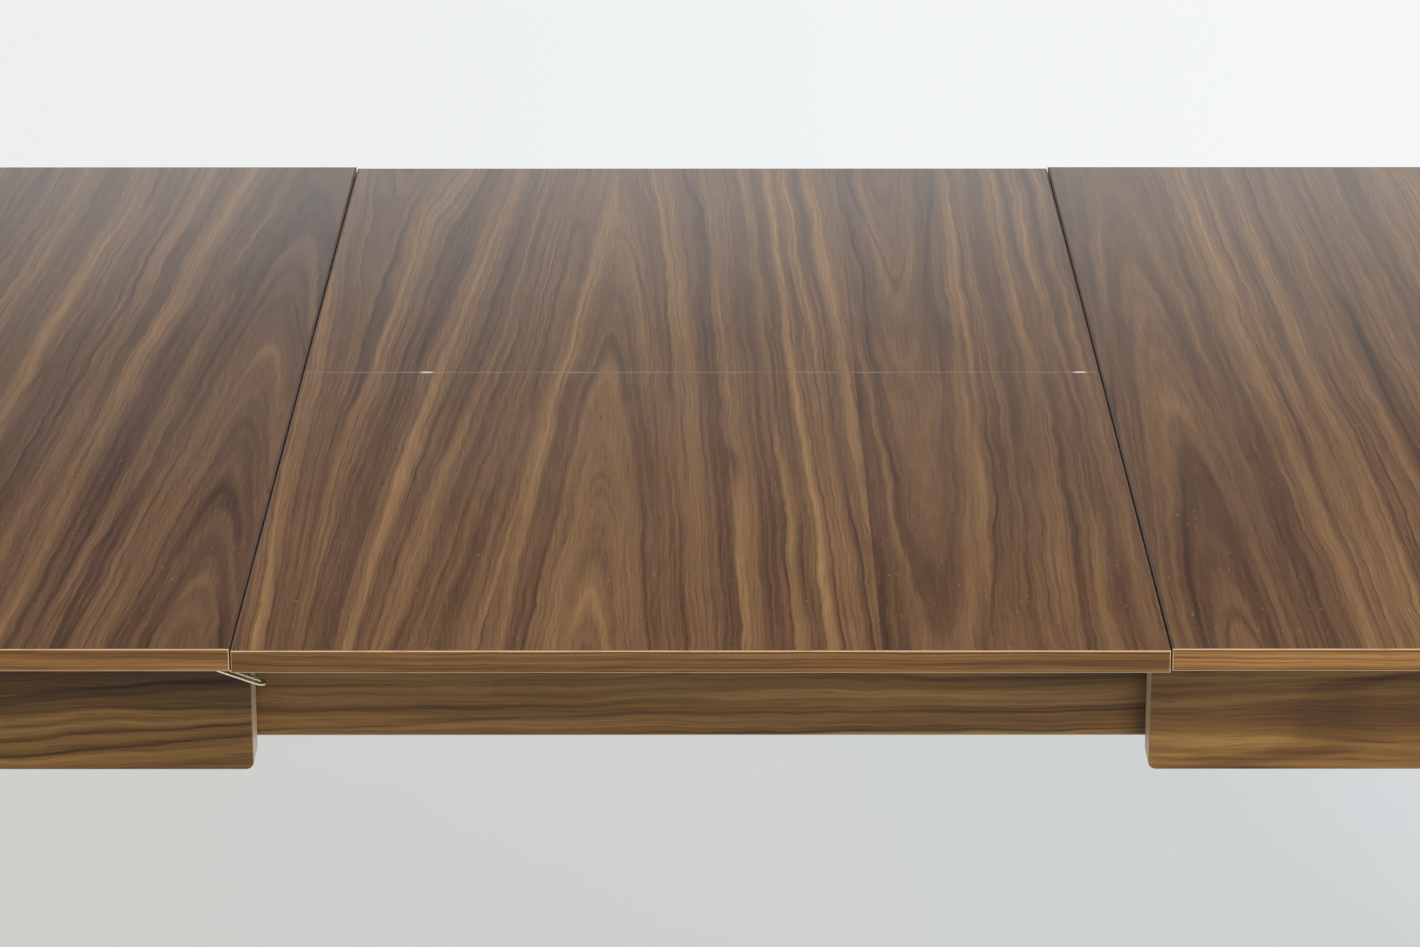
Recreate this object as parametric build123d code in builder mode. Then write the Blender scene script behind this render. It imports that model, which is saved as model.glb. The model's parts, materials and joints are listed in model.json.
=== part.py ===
from build123d import *
from math import atan2, cos, degrees, hypot, radians, sin, sqrt
import os

# Extendable dining table: two half tops on legs, a fixed inner frame on ball-bearing slides between
# them, and a folding middle leaf that swings down into the frame on two pairs of parallel arms.
# Millimetres, origin on the floor under the middle of the leaf, +X along the length, +Z up,
# front at -Y. Rest position: leaf up, half tops against it.

# Overall sizes
table_height = 760.0
table_depth = 800.0
half_length = 600.0
leaf_length = 400.0  # the leaf's size along the table

# Board, edge bands and seams
top_thickness = 18.0
edge_height = 10.0  # upright part of an outer edge, above the undercut
bevel_run = 24.0
band_thickness = 1.0
arris = 0.4
seam_gap = 0.7
fold_gap = 0.3
leaf_drop = 0.8  # the leaf lies this much below the half tops

# Aprons, legs and glides
overhang = 95.0
end_overhang = 85.0
apron_thickness = 20.0
apron_height = 75.0
apron_setback = 0.3
apron_round = 3.5
leg_size = 55.0
leg_foot_size = 32.0
leg_straight = 102.0
leg_round = 2.0
leg_corner_cut = 12.0
glide_radius = 11.0
glide_height = 4.0
glide_pin_radius = 3.0
glide_pin_length = 18.0

# Corner brackets and hanger bolts
bracket_thickness = 2.5
bracket_height = 50.0
bracket_drop = 12.0
bracket_flange = 19.0
bolt_radius = 4.0
bolt_clearance = 0.2
bolt_depth = 42.0
bolt_tail = 14.0
bolt_spacing = 26.0
nut_flats = 13.0
nut_height = 6.5
washer_radius = 8.0
washer_height = 1.6

# Inner frame
rail_gap = 2.0  # between an apron and the rail behind it
rail_thickness = 18.0
rail_below_top = 85.5
rail_top_gap = 4.0
rail_end_clearance = 5.5
rail_round = 1.5
crossbar_width = 20.0
crossbar_height = 19.5
end_bar_inset = 5.0
pivot_bar_inset = 40.0
dowel_radius = 4.0
dowel_reach = 12.0
dowel_clearance = 0.05

# Slides: channel on the rail, runner on the bearer, ball cage between them
slide_below_top = 44.0
channel_height = 36.0
channel_depth = 10.5
sheet = 1.5
race_clearance = 0.2
ball_radius = 2.4
runner_depth = 9.5
runner_to_web = 3.0
cage_sheet = 0.8
cage_length = 125.0
balls_per_row = 6

# Bearers and stops
bearer_width = 26.0
bearer_height = 44.0
bearer_inset = 15.0
bearer_end_gap = 20.0
runner_inset = 30.0
open_travel = 15.0
stop_gap = 0.3
stop_length = 15.0
stop_height = 17.0
stop_width = 20.0

# Pads
rest_pad_height = 3.0
rest_pad_length = 40.0
rest_pad_x = 140.0
stow_pad_height = 3.7
stow_pad_length = 30.0
stow_pad_y = 150.0
pad_gap = 0.3

# Swing arms, their pivots and the leaf's brackets
fold_height = 0.5  # the fold axis stands this far above the leaf's face
arm_width = 9.0
arm_thickness = 3.0
arm_bar_gap = 3.5
arm_plane_gap = 1.5
pin_radius = 2.5
pin_clearance = 0.05
pin_in_bar = 15.0
pin_below_leaf = 11.2
pivot_z = 688.0
second_arm_y = 49.0
second_arm_drop = 8.5
cross_rod_radius = 3.0
plate_thickness = 2.0
plate_gap = 1.0
plate_width = 18.0
plate_margin = 16.0
flange_margin = 8.0
pin_head_radius = 4.0
pin_head_height = 1.0

# Barrel hinges on the fold
barrel_radius = 6.95
barrel_clearance = 0.05
barrel_depth = 16.0
barrel_x = 138.0
link_half_width = 1.8
link_reach = 6.0
link_top = top_thickness / 2 - 6.0
link_bottom = top_thickness / 2 + 5.0
pocket_side = 0.4
pocket_play = 0.6

# Wire clips, their plates and the catch studs
wire_radius = 1.0
wire_play = 0.05
clip_inset = 48.0
clip_back = 24.25
clip_length = 37.4
clip_spacing = 5.6
clip_stub = 5.2
clip_bend = 1.4
clip_below_top = 3.2
clip_droop = 20.0
clip_plate_thickness = 1.2
clip_plate_half = 10.0
clip_plate_length = 22.0
clip_plate_nose = 5.0
knuckle_radius = 2.4
knuckle_length = 4.2
stud_inset = 8.6
stud_shank = 1.1
stud_head = 1.5
stud_drop = 6.0
stud_head_height = 1.4
stud_base_radius = 3.0
stud_base_height = 0.8
stud_depth = 10.0

# Wood screws, each as shank radius, head radius and head height
wood_screw = (2.0, 3.5, 1.5)
small_screw = (1.2, 2.0, 0.9)
screw_play = 0.1
screw_bite = 12.0
small_screw_bite = 10.0

# Heights worked out from the sizes above
under_z = table_height - top_thickness
edge_low_z = table_height - edge_height
leaf_top_z = table_height - leaf_drop
leaf_under_z = leaf_top_z - top_thickness
leaf_edge_low_z = leaf_top_z - edge_height
apron_low_z = under_z - apron_height
rail_low_z = table_height - rail_below_top
rail_top_z = under_z - rail_top_gap
bar_top_z = rail_low_z + crossbar_height
slide_z = table_height - slide_below_top
bearer_low_z = under_z - bearer_height
fold_z = leaf_top_z + fold_height
barrel_z = leaf_top_z - top_thickness / 2
clip_z = under_z - clip_below_top
pack_under_z = bar_top_z + stow_pad_height + pad_gap  # underside of the stowed leaf

# Places along X and Y, as distances from the middle
front_y = table_depth / 2
seam_x = leaf_length / 2 + seam_gap / 2
leaf_x = leaf_length / 2 - seam_gap / 2
end_x = leaf_length / 2 + half_length
apron_out_y = front_y - overhang
apron_in_y = apron_out_y - apron_thickness
leg_out_x = end_x - end_overhang
leg_in_x = leg_out_x - leg_size
leg_in_y = apron_out_y - leg_size
end_apron_in_x = leg_out_x - apron_thickness
bracket_sum = leg_in_x + leg_in_y + leg_corner_cut  # X + Y on the bracket's face to the leg
bracket_inner_sum = bracket_sum - sqrt(2) * bracket_thickness
rail_out_y = apron_in_y - rail_gap
rail_in_y = rail_out_y - rail_thickness
rail_end_x = bracket_inner_sum - rail_out_y - leaf_length / 2 - rail_end_clearance
end_bar_out_x = rail_end_x - end_bar_inset
end_bar_in_x = end_bar_out_x - crossbar_width
pivot_bar_x = leaf_length / 2 - pivot_bar_inset
web_y = rail_in_y - sheet  # inner face of the channel's web
runner_out_y = web_y - runner_to_web
runner_in_y = runner_out_y - runner_depth
bearer_in_y = runner_in_y - bearer_width
bearer_x0 = seam_x + bearer_inset
bearer_x1 = leg_in_x - bearer_end_gap
runner_x0 = seam_x + runner_inset
runner_height = channel_height - 2 * sheet - 4 * (ball_radius + race_clearance)
bearer_screws = [bearer_x0 + 35, (bearer_x0 + bearer_x1) / 2 + 25, bearer_x1 - 20]
runner_screws = [runner_x0 + 35, (bearer_x0 + bearer_x1) / 2 - 5, bearer_x1 - 45]
channel_screws = [-rail_end_x * 0.6, -60.0, 60.0, rail_end_x * 0.6]
clip_y = front_y - clip_inset
clip_x = seam_x + clip_back
stud_x = leaf_length / 2 - stud_inset

# The arms carry the leaf's front half back by a quarter of the depth and down into the frame
pivot_y = -table_depth / 8
pin_z = leaf_under_z - pin_below_leaf
arm_rise_up = pin_z - pivot_z
arm_rise_stowed = arm_rise_up - (leaf_under_z - pack_under_z)
leaf_shift = table_depth / 4
arm_run_up = (leaf_shift**2 + arm_rise_stowed**2 - arm_rise_up**2) / (2 * leaf_shift)
arm_length = hypot(arm_run_up, arm_rise_up)
angle_up = degrees(atan2(arm_rise_up, -arm_run_up))
angle_stowed = degrees(atan2(arm_rise_stowed, leaf_shift - arm_run_up))
swing_angle = angle_up - angle_stowed
first_pin = (pivot_y - arm_run_up, pin_z)
first_arm_x = pivot_bar_x - arm_bar_gap - arm_thickness  # inner face of each arm, and of the plate
second_arm_x = first_arm_x - arm_plane_gap - arm_thickness
plate_x = second_arm_x - plate_gap - plate_thickness

sides = {"left": -1, "right": 1}
ends = {"front": -1, "back": 1}
os.makedirs("parts", exist_ok=True)


def block(x0, x1, y0, y1, z0, z1, mode=Mode.ADD):
    """Add or cut the box between two opposite corners."""
    with Locations(((x0 + x1) / 2, (y0 + y1) / 2, (z0 + z1) / 2)):
        Box(abs(x1 - x0), abs(y1 - y0), abs(z1 - z0), mode=mode)


def bar(start, end, radius, mode=Mode.ADD):
    """Add or cut a round bar from one point to another."""
    axis = Vector(*end) - Vector(*start)
    with Locations(Plane(origin=Vector(*start) + axis / 2, z_dir=axis)):
        Cylinder(radius, axis.length, mode=mode)


def outline_x(points, x0, x1, mode=Mode.ADD):
    """Extrude a closed outline given in Y and Z from x0 to x1."""
    with BuildSketch(Plane.YZ.offset(min(x0, x1))) as outline:
        with BuildLine():
            Polyline(*points, close=True)
        make_face()
    extrude(outline.sketch, amount=abs(x1 - x0), mode=mode)


def outline_z(points, z0, z1, mode=Mode.ADD):
    """Extrude a closed outline given in X and Y from z0 to z1."""
    with BuildSketch(Plane.XY.offset(z0)) as outline:
        with BuildLine():
            Polyline(*points, close=True)
        make_face()
    extrude(outline.sketch, amount=z1 - z0, mode=mode)


def countersunk(head, direction, length, size=wood_screw):
    """Add a screw whose flush head starts at head and whose shank runs along direction."""
    radius, head_radius, head_height = size
    with Locations(Plane(origin=head, z_dir=direction)):
        from_head = (Align.CENTER, Align.CENTER, Align.MIN)
        Cone(head_radius, radius, head_height, align=from_head)
        Cylinder(radius, length, align=from_head)


def countersink(head, direction, length, size=wood_screw):
    """Cut the seat and the hole for the screw that countersunk() adds."""
    radius, head_radius, head_height = size
    with Locations(Plane(origin=head, z_dir=direction)):
        from_head = (Align.CENTER, Align.CENTER, Align.MIN)
        Cone(head_radius, radius, head_height, align=from_head, mode=Mode.SUBTRACT)
        Cylinder(radius + screw_play, length, align=from_head, mode=Mode.SUBTRACT)


# ---- Half tops ----

def top_panel(side, sx):
    x0 = seam_x + band_thickness
    x1 = end_x - band_thickness
    y1 = front_y - band_thickness
    with BuildPart() as panel:
        with BuildSketch(Plane.XY.offset(edge_low_z)) as full:
            with Locations((sx * (x0 + x1) / 2, 0)):
                Rectangle(x1 - x0, 2 * y1)
        with BuildSketch(Plane.XY.offset(under_z)):
            with Locations((sx * (x0 + x1 - bevel_run) / 2, 0)):
                Rectangle(x1 - bevel_run - x0, 2 * (y1 - bevel_run))
        loft(ruled=True)
        extrude(full.sketch, amount=edge_height)
        for sy in ends.values():
            for x in bearer_screws:
                y = sy * (bearer_in_y + bearer_width / 2)
                bar((sx * x, y, under_z), (sx * x, y, under_z + screw_bite), wood_screw[0], Mode.SUBTRACT)
            for y in (clip_y - knuckle_length - 3, clip_y + knuckle_length + 3):
                x = sx * (clip_x + clip_plate_length - clip_plate_nose - 5)
                low = (x, sy * y, under_z)
                high = (x, sy * y, under_z + small_screw_bite)
                bar(low, high, small_screw[0], Mode.SUBTRACT)
    panel.part.label = f"{side}_top_panel"
    export_step(panel.part, f"parts/{panel.part.label}.step")


def seam_outline(y0, y1, z1, z_edge, z0, bevel_front, bevel_back):
    """Outline of a board's cut end in Y and Z, undercut at its front or back edge."""
    points = [(y0, z1), (y1, z1), (y1, z_edge), (y1 - bevel_back, z0), (y0 + bevel_front, z0), (y0, z_edge)]
    if not bevel_back:
        points.remove((y1, z_edge))
    if not bevel_front:
        points.remove((y0, z_edge))
    return points


def edge_bands(side, sx):
    y1 = front_y - band_thickness
    with BuildPart() as bands:
        for sy in ends.values():
            block(sx * seam_x, sx * end_x, sy * y1, sy * front_y, edge_low_z, table_height)
        block(sx * (end_x - band_thickness), sx * end_x, -y1, y1, edge_low_z, table_height)
        outer = bands.edges().filter_by(lambda e: is_outer_arris(e, sx * seam_x, sx * end_x))
        chamfer(outer, arris)
        profile = seam_outline(-y1, y1, table_height, edge_low_z, under_z, bevel_run, bevel_run)
        outline_x(profile, sx * seam_x, sx * (seam_x + band_thickness))
    bands.part.label = f"{side}_edge_bands"
    export_step(bands.part, f"parts/{bands.part.label}.step")


def is_outer_arris(edge, x_seam, x_end):
    """True for the long arrises of the front, back and end bands that face outwards."""
    centre = edge.center()
    on_front = abs(abs(centre.Y) - front_y) < 1e-6
    on_end = abs(centre.X - x_end) < 1e-6
    upright = edge.length < edge_height + 1e-6
    if upright:
        return on_front and (on_end or abs(centre.X - x_seam) < 1e-6)
    return on_front or on_end


def front_apron(side, sx, end, sy):
    x0 = seam_x + apron_setback
    with BuildPart() as apron:
        block(sx * x0, sx * leg_in_x, sy * apron_in_y, sy * apron_out_y, apron_low_z, under_z)
        low_end = apron.edges().filter_by(Axis.Y).group_by(Axis.Z)[0].sort_by(Axis.X)
        fillet(low_end[0 if sx > 0 else -1], apron_round)
        low_long = apron.edges().filter_by(Axis.X).group_by(Axis.Z)[0]
        fillet(low_long, rail_round / 2)
    apron.part.label = f"{side}_{end}_apron"
    export_step(apron.part, f"parts/{apron.part.label}.step")


def end_apron(side, sx):
    with BuildPart() as apron:
        block(sx * end_apron_in_x, sx * leg_out_x, -leg_in_y, leg_in_y, apron_low_z, under_z)
        fillet(apron.edges().filter_by(Axis.Y).group_by(Axis.Z)[0], rail_round)
    apron.part.label = f"{side}_end_apron"
    export_step(apron.part, f"parts/{apron.part.label}.step")


def bolt_places(sx, sy):
    """Origins of the two hanger bolts of a corner, on the bracket's face to the leg."""
    x = leg_in_x + leg_corner_cut / 2
    y = leg_in_y + leg_corner_cut / 2
    middle = under_z - bracket_drop - bracket_height / 2
    return [Vector(sx * x, sy * y, middle + dz) for dz in (-bolt_spacing / 2, bolt_spacing / 2)]


def leg(side, sx, end, sy):
    taper_z = under_z - leg_straight
    with BuildPart() as post:
        with BuildSketch(Plane.XY.offset(taper_z)) as upper:
            with Locations((sx * (leg_out_x - leg_size / 2), sy * (apron_out_y - leg_size / 2))):
                RectangleRounded(leg_size, leg_size, leg_round)
        with BuildSketch(Plane.XY.offset(glide_height)):
            with Locations((sx * (leg_out_x - leg_foot_size / 2), sy * (apron_out_y - leg_foot_size / 2))):
                RectangleRounded(leg_foot_size, leg_foot_size, leg_round)
        loft()
        extrude(upper.sketch, amount=leg_straight)
        near_x, near_y = leg_in_x - 1, leg_in_y - 1
        corner = [(near_x, near_y), (bracket_sum - near_y, near_y), (near_x, bracket_sum - near_x)]
        outline_z([(sx * x, sy * y) for x, y in corner], apron_low_z, under_z, Mode.SUBTRACT)
        for place in bolt_places(sx, sy):
            inward = Vector(sx, sy, 0).normalized() * (bolt_depth + 1)
            bar(place, place + inward, bolt_radius + bolt_clearance, Mode.SUBTRACT)
        foot = Vector(*glide_centre(sx, sy), glide_height)
        hole = Vector(0, 0, glide_pin_length + 1)
        bar(foot, foot + hole, glide_pin_radius + dowel_clearance, Mode.SUBTRACT)
    post.part.label = f"{side}_{end}_leg"
    export_step(post.part, f"parts/{post.part.label}.step")


def glide_centre(sx, sy):
    return sx * (leg_out_x - leg_foot_size / 2), sy * (apron_out_y - leg_foot_size / 2)


def glides(side, sx):
    with BuildPart() as feet:
        for sy in ends.values():
            x, y = glide_centre(sx, sy)
            bar((x, y, 0), (x, y, glide_height), glide_radius)
        chamfer(feet.edges().group_by(Axis.Z)[0], glide_height / 4)
        for sy in ends.values():
            x, y = glide_centre(sx, sy)
            bar((x, y, glide_height), (x, y, glide_height + glide_pin_length), glide_pin_radius)
    feet.part.label = f"{side}_glides"
    export_step(feet.part, f"parts/{feet.part.label}.step")


def bracket_outline():
    """Plan of a corner bracket: a plate across the corner with a flange along each apron."""
    t = bracket_thickness
    x_wall, y_wall = end_apron_in_x, apron_in_y
    return [
        (bracket_sum - y_wall + bracket_flange, y_wall),
        (bracket_inner_sum - y_wall, y_wall),
        (x_wall, bracket_inner_sum - x_wall),
        (x_wall, bracket_sum - x_wall + bracket_flange),
        (x_wall - t, bracket_sum - x_wall + bracket_flange),
        (x_wall - t, bracket_sum - x_wall + t),
        (bracket_sum - y_wall + t, y_wall - t),
        (bracket_sum - y_wall + bracket_flange, y_wall - t),
    ]


def corner_brackets(side, sx):
    z1 = under_z - bracket_drop
    with BuildPart() as brackets:
        for sy in ends.values():
            outline_z([(sx * x, sy * y) for x, y in bracket_outline()], z1 - bracket_height, z1)
            for place in bolt_places(sx, sy):
                outward = Vector(-sx, -sy, 0).normalized() * (bracket_thickness + 1)
                bar(place - outward, place + outward, bolt_radius + bolt_clearance, Mode.SUBTRACT)
    brackets.part.label = f"{side}_corner_brackets"
    export_step(brackets.part, f"parts/{brackets.part.label}.step")


def leg_bolts(side, sx):
    with BuildPart() as bolts:
        for sy in ends.values():
            inward = Vector(sx, sy, 0).normalized()
            for place in bolt_places(sx, sy):
                bar(place - inward * bolt_tail, place + inward * bolt_depth, bolt_radius)
                seat = place - inward * bracket_thickness
                bar(seat, seat - inward * washer_height, washer_radius)
                nut_plane = Plane(origin=seat - inward * washer_height, z_dir=-inward)
                with BuildSketch(nut_plane) as nut:
                    RegularPolygon(nut_flats / 2, 6, major_radius=False)
                extrude(nut.sketch, amount=nut_height)
    bolts.part.label = f"{side}_leg_bolts"
    export_step(bolts.part, f"parts/{bolts.part.label}.step")


def bearers(side, sx):
    with BuildPart() as battens:
        for sy in ends.values():
            y0, y1 = sy * bearer_in_y, sy * runner_in_y
            block(sx * bearer_x0, sx * bearer_x1, y0, y1, bearer_low_z, under_z)
            for x in bearer_screws:
                head = (sx * x, (y0 + y1) / 2, bearer_low_z)
                countersink(head, (0, 0, 1), bearer_height)
            for x in runner_screws:
                countersink((sx * x, y1, slide_z), (0, -sy, 0), screw_bite + 4)
        chamfer(battens.edges().filter_by(Axis.X).group_by(Axis.Z)[0], 1.0)
    battens.part.label = f"{side}_bearers"
    export_step(battens.part, f"parts/{battens.part.label}.step")


def runners(side, sx):
    z0, z1 = slide_z - runner_height / 2, slide_z + runner_height / 2
    with BuildPart() as profiles:
        for sy in ends.values():
            y0, y1 = sy * runner_in_y, sy * runner_out_y
            block(sx * runner_x0, sx * bearer_x1, y0, y1, z0, z1)
            block(sx * runner_x0, sx * bearer_x1, y0 + sy * sheet, y1, z0 + sheet, z1 - sheet, Mode.SUBTRACT)
            for x in runner_screws:
                countersink((sx * x, y0 + sy * sheet, slide_z), (0, -sy, 0), sheet)
    profiles.part.label = f"{side}_runners"
    export_step(profiles.part, f"parts/{profiles.part.label}.step")


def ball_cages(side, sx):
    x1 = rail_end_x - open_travel - 5
    x0 = x1 - cage_length
    row_z = runner_height / 2 + race_clearance + ball_radius
    plate_in = runner_out_y + (runner_to_web - cage_sheet) / 2
    ball_y = runner_out_y - ball_radius - cage_sheet
    with BuildPart() as cages:
        for sy in ends.values():
            z0, z1 = slide_z - row_z - cage_sheet / 2, slide_z + row_z + cage_sheet / 2
            block(sx * x0, sx * x1, sy * plate_in, sy * (plate_in + cage_sheet), z0, z1)
            for sz in (-1, 1):
                z = slide_z + sz * row_z
                tab_y = ball_y - ball_radius
                block(sx * x0, sx * x1, sy * tab_y, sy * plate_in, z - cage_sheet / 2, z + cage_sheet / 2)
                pitch = cage_length / balls_per_row
                for i in range(balls_per_row):
                    with Locations((sx * (x0 + pitch * (i + 0.5)), sy * ball_y, z)):
                        Sphere(ball_radius)
    cages.part.label = f"{side}_ball_cages"
    export_step(cages.part, f"parts/{cages.part.label}.step")


def stop_blocks(side, sx):
    x1 = end_bar_in_x - open_travel - stop_gap
    y_middle = bearer_in_y + bearer_width / 2
    with BuildPart() as stops:
        for sy in ends.values():
            y0, y1 = sy * (y_middle - stop_width / 2), sy * (y_middle + stop_width / 2)
            block(sx * (x1 - stop_length), sx * x1, y0, y1, bearer_low_z - stop_height, bearer_low_z)
        chamfer(stops.edges().group_by(Axis.Z)[0], 1.0)
    stops.part.label = f"{side}_stop_blocks"
    export_step(stops.part, f"parts/{stops.part.label}.step")


def clip_plates(side, sx):
    x_nose = clip_x - clip_plate_nose
    x_tail = x_nose + clip_plate_length
    plate_low = under_z - clip_plate_thickness
    with BuildPart() as plates:
        for sy in ends.values():
            y = sy * clip_y
            block(sx * x_nose, sx * x_tail, y - clip_plate_half, y + clip_plate_half, plate_low, under_z)
            for sk in (-1, 1):
                near = clip_spacing / 2 + wire_radius + 0.6
                start = Vector(sx * clip_x, y + sk * near, clip_z)
                end = start + Vector(0, sk * knuckle_length, 0)
                bar(start, end, knuckle_radius)
                bar(start, end, wire_radius + wire_play, Mode.SUBTRACT)
                hole = (sx * (x_tail - 5), y + sk * (knuckle_length + 3), plate_low)
                countersink(hole, (0, 0, 1), clip_plate_thickness, small_screw)
    plates.part.label = f"{side}_clip_plates"
    export_step(plates.part, f"parts/{plates.part.label}.step")


def half_screws(side, sx):
    x_small = clip_x + clip_plate_length - clip_plate_nose - 5
    plate_low = under_z - clip_plate_thickness
    with BuildPart() as screws:
        for sy in ends.values():
            y_bearer = sy * (bearer_in_y + bearer_width / 2)
            for x in bearer_screws:
                countersunk((sx * x, y_bearer, bearer_low_z), (0, 0, 1), bearer_height + screw_bite)
            for x in runner_screws:
                head = (sx * x, sy * (runner_in_y + sheet), slide_z)
                countersunk(head, (0, -sy, 0), sheet + screw_bite)
            for dy in (-knuckle_length - 3, knuckle_length + 3):
                head = (sx * x_small, sy * clip_y + dy, plate_low)
                length = clip_plate_thickness + small_screw_bite
                countersunk(head, (0, 0, 1), length, small_screw)
    screws.part.label = f"{side}_screws"
    export_step(screws.part, f"parts/{screws.part.label}.step")


# ---- Inner frame ----

def crossbar_xs():
    """Inner and outer faces of the four crossbars."""
    pairs = [(pivot_bar_x, pivot_bar_x + crossbar_width), (end_bar_in_x, end_bar_out_x)]
    return [(sx * a, sx * b) for a, b in pairs for sx in sides.values()]


def dowels(mode=Mode.ADD, play=0.0):
    """The dowels that join the crossbars to the rails, or their holes."""
    z = (rail_low_z + bar_top_z) / 2
    for x0, x1 in crossbar_xs():
        for sy in ends.values():
            start = ((x0 + x1) / 2, sy * (rail_in_y - dowel_reach - play), z)
            end = ((x0 + x1) / 2, sy * (rail_in_y + dowel_reach + play), z)
            bar(start, end, dowel_radius + play, mode)


def frame_rail(end, sy):
    with BuildPart() as rail:
        block(-rail_end_x, rail_end_x, sy * rail_in_y, sy * rail_out_y, rail_low_z, rail_top_z)
        fillet(rail.edges().filter_by(Axis.X).group_by(Axis.Z)[0], rail_round)
        dowels(Mode.SUBTRACT, dowel_clearance)
        for x in channel_screws:
            start = (x, sy * rail_in_y, slide_z)
            bar(start, (x, sy * (rail_in_y + screw_bite), slide_z), wood_screw[0], Mode.SUBTRACT)
    rail.part.label = f"{end}_rail"
    export_step(rail.part, f"parts/{rail.part.label}.step")


def crossbars():
    with BuildPart() as pivot_bars:
        for sx in sides.values():
            x0, x1 = sx * pivot_bar_x, sx * (pivot_bar_x + crossbar_width)
            block(x0, x1, -rail_in_y, rail_in_y, rail_low_z, bar_top_z)
            for y, z in arm_pivots():
                bar((x0, y, z), (x0 + sx * pin_in_bar, y, z), pin_radius, Mode.SUBTRACT)
        dowels(Mode.SUBTRACT, dowel_clearance)
    pivot_bars.part.label = "pivot_crossbars"
    export_step(pivot_bars.part, "parts/pivot_crossbars.step")
    with BuildPart() as end_bars:
        for sx in sides.values():
            x0, x1 = sx * end_bar_in_x, sx * end_bar_out_x
            block(x0, x1, -rail_in_y, rail_in_y, rail_low_z, bar_top_z)
        dowels(Mode.SUBTRACT, dowel_clearance)
    end_bars.part.label = "end_crossbars"
    export_step(end_bars.part, "parts/end_crossbars.step")
    with BuildPart() as pegs:
        dowels()
    pegs.part.label = "crossbar_dowels"
    export_step(pegs.part, "parts/crossbar_dowels.step")


def slide_channel(end, sy):
    z0, z1 = slide_z - channel_height / 2, slide_z + channel_height / 2
    lip_y = rail_in_y - channel_depth
    with BuildPart() as channel:
        block(-rail_end_x, rail_end_x, sy * lip_y, sy * rail_in_y, z0, z1)
        block(-rail_end_x, rail_end_x, sy * lip_y, sy * web_y, z0 + sheet, z1 - sheet, Mode.SUBTRACT)
        for x in channel_screws:
            countersink((x, sy * web_y, slide_z), (0, sy, 0), sheet)
    channel.part.label = f"{end}_slide_channel"
    export_step(channel.part, f"parts/{channel.part.label}.step")


def rail_screws():
    with BuildPart() as screws:
        for sy in ends.values():
            for x in channel_screws:
                countersunk((x, sy * web_y, slide_z), (0, sy, 0), sheet + screw_bite)
    screws.part.label = "channel_screws"
    export_step(screws.part, "parts/channel_screws.step")


def pads():
    with BuildPart() as rest_pads:
        for sx in sides.values():
            for sy in ends.values():
                x0, x1 = sx * rest_pad_x - rest_pad_length / 2, sx * rest_pad_x + rest_pad_length / 2
                y0, y1 = sy * (rail_in_y + 1), sy * (rail_out_y - 1)
                block(x0, x1, y0, y1, rail_top_z, rail_top_z + rest_pad_height)
        chamfer(rest_pads.edges().group_by(Axis.Z)[-1], 0.6)
    rest_pads.part.label = "leaf_rest_pads"
    export_step(rest_pads.part, "parts/leaf_rest_pads.step")
    with BuildPart() as stow_pads:
        for sx in sides.values():
            for sy in ends.values():
                x0, x1 = sx * (pivot_bar_x + 2), sx * (pivot_bar_x + crossbar_width - 2)
                y0, y1 = sy * stow_pad_y, sy * (stow_pad_y + stow_pad_length)
                block(x0, x1, y0, y1, bar_top_z, bar_top_z + stow_pad_height)
        chamfer(stow_pads.edges().group_by(Axis.Z)[-1], 0.6)
    stow_pads.part.label = "stow_pads"
    export_step(stow_pads.part, "parts/stow_pads.step")


# ---- Swing arms ----

def arm_pivots():
    """Y and Z of the two fixed pivots, the same on both crossbars."""
    return [(pivot_y, pivot_z), (pivot_y + second_arm_y, pivot_z - second_arm_drop)]


def leaf_pins():
    """Y and Z of the two pins on the leaf's brackets, with the leaf up."""
    y, z = first_pin
    return [(y, z), (y + second_arm_y, z - second_arm_drop)]


def pivot_pins():
    first, second = arm_pivots()
    collar_gap = 0.3
    with BuildPart() as pins:
        for sx in sides.values():
            x_in_bar = sx * (pivot_bar_x + pin_in_bar)
            for (y, z), x_tip in ((first, first_arm_x), (second, second_arm_x)):
                bar((sx * (x_tip + 0.4), y, z), (x_in_bar, y, z), pin_radius)
                arm_face = x_tip + arm_thickness + collar_gap
                if x_tip == first_arm_x:
                    bar((sx * arm_face, y, z), (sx * pivot_bar_x, y, z), pin_head_radius)
    pins.part.label = "arm_pivot_pins"
    export_step(pins.part, "parts/arm_pivot_pins.step")


def swing_arms(name, pivot, pin, x_face):
    """One pair of parallel arms, tied together by a cross rod on their pivot axis."""
    (y0, z0), (y1, z1) = pivot, pin
    lean = degrees(atan2(z1 - z0, y1 - y0))
    with BuildPart() as arms:
        for sx in sides.values():
            with BuildSketch(Plane.YZ.offset(min(sx * x_face, sx * (x_face + arm_thickness)))) as strap:
                with Locations(((y0 + y1) / 2, (z0 + z1) / 2)):
                    SlotCenterToCenter(arm_length, arm_width, rotation=lean)
            extrude(strap.sketch, amount=arm_thickness)
            for y, z in (pivot, pin):
                start = (sx * (x_face - 1), y, z)
                end = (sx * (x_face + arm_thickness + 1), y, z)
                bar(start, end, pin_radius + pin_clearance, Mode.SUBTRACT)
        bar((-x_face, y0, z0), (x_face, y0, z0), cross_rod_radius)
    arms.part.label = name
    export_step(arms.part, f"parts/{name}.step")


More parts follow.
